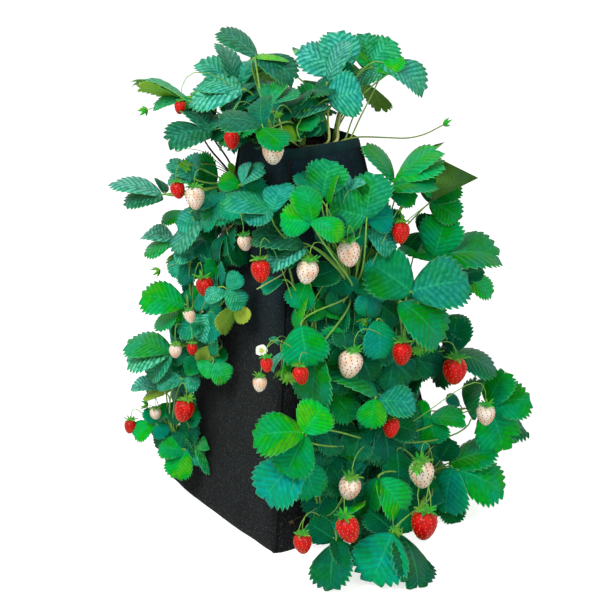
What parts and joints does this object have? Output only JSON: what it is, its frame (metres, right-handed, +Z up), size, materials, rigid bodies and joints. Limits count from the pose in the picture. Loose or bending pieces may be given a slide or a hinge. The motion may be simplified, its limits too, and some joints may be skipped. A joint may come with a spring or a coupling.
{
  "type": "vertical planter tower",
  "caption": "Tapered four-sided felt planting tower filled with potting mix, with strawberry plants, leaves and hanging berries growing from its mouth and from side slits.",
  "frame": {"origin": "middle of the base panel's underside, on the floor", "axes": "+Z up, -Y out of the planted front face, -X out of the left face whose plants grow along its rear edge"},
  "size_m": [0.5415, 0.6948, 0.7759],
  "materials": {
    "felt_dark": "charcoal needle-punched felt, matte",
    "felt_teal": "dark teal-grey felt, matte",
    "tape": "black woven seam tape",
    "mix": "moist brown potting mix",
    "foliage": "fresh green leaf, soft sheen",
    "petal": "white petals",
    "berry_red": "ripe red berry, glossy",
    "berry_white": "cream white berry with a pink blush"
  },
  "bodies": {
    "root": {"felt_panel_front": "felt_dark", "felt_panel_right": "felt_dark", "felt_panel_back": "felt_dark", "felt_panel_left": "felt_teal", "base_panel": "felt_dark", "rim_hem": "felt_teal", "seam_tape_front_left": "tape", "seam_tape_front_right": "tape", "seam_tape_back_right": "tape", "seam_tape_back_left": "tape", "potting_mix": "mix", "plant_top_left": "foliage", "plant_top_middle": "foliage", "plant_top_right": "foliage", "plant_front_upper": "foliage", "plant_front_mid_left": "foliage", "plant_front_mid_right": "foliage", "plant_front_centre": "foliage", "plant_front_low_left": "foliage", "plant_front_low_right": "foliage", "plant_left_upper": "foliage", "plant_left_mid": "foliage", "plant_left_low": "foliage", "plant_back_upper": "foliage", "plant_back_mid": "foliage", "plant_back_centre": "foliage", "plant_back_low": "foliage", "flower": "petal", "berry_red_top_left_1": "berry_red", "berry_red_top_left_2": "berry_red", "berry_white_top_middle_1": "berry_white", "berry_white_front_upper_1": "berry_white", "berry_white_front_upper_2": "berry_white", "berry_red_front_upper_3": "berry_red", "berry_red_front_mid_left_1": "berry_red", "berry_red_front_mid_left_2": "berry_red", "berry_red_front_mid_left_3": "berry_red", "berry_white_front_mid_left_4": "berry_white", "berry_red_front_mid_right_1": "berry_red", "berry_red_front_mid_right_2": "berry_red", "berry_white_front_mid_right_3": "berry_white", "berry_red_front_centre_1": "berry_red", "berry_white_front_centre_2": "berry_white", "berry_white_front_centre_3": "berry_white", "berry_red_front_low_left_1": "berry_red", "berry_red_front_low_left_2": "berry_red", "berry_red_front_low_right_1": "berry_red", "berry_white_front_low_right_2": "berry_white", "berry_red_left_upper_1": "berry_red", "berry_white_left_upper_2": "berry_white", "berry_white_left_upper_3": "berry_white", "berry_red_left_mid_1": "berry_red", "berry_red_left_mid_2": "berry_red", "berry_white_left_mid_3": "berry_white", "berry_white_left_mid_4": "berry_white", "berry_red_left_low_1": "berry_red", "berry_red_left_low_2": "berry_red", "berry_white_left_low_3": "berry_white"}
  },
  "joints": []
}
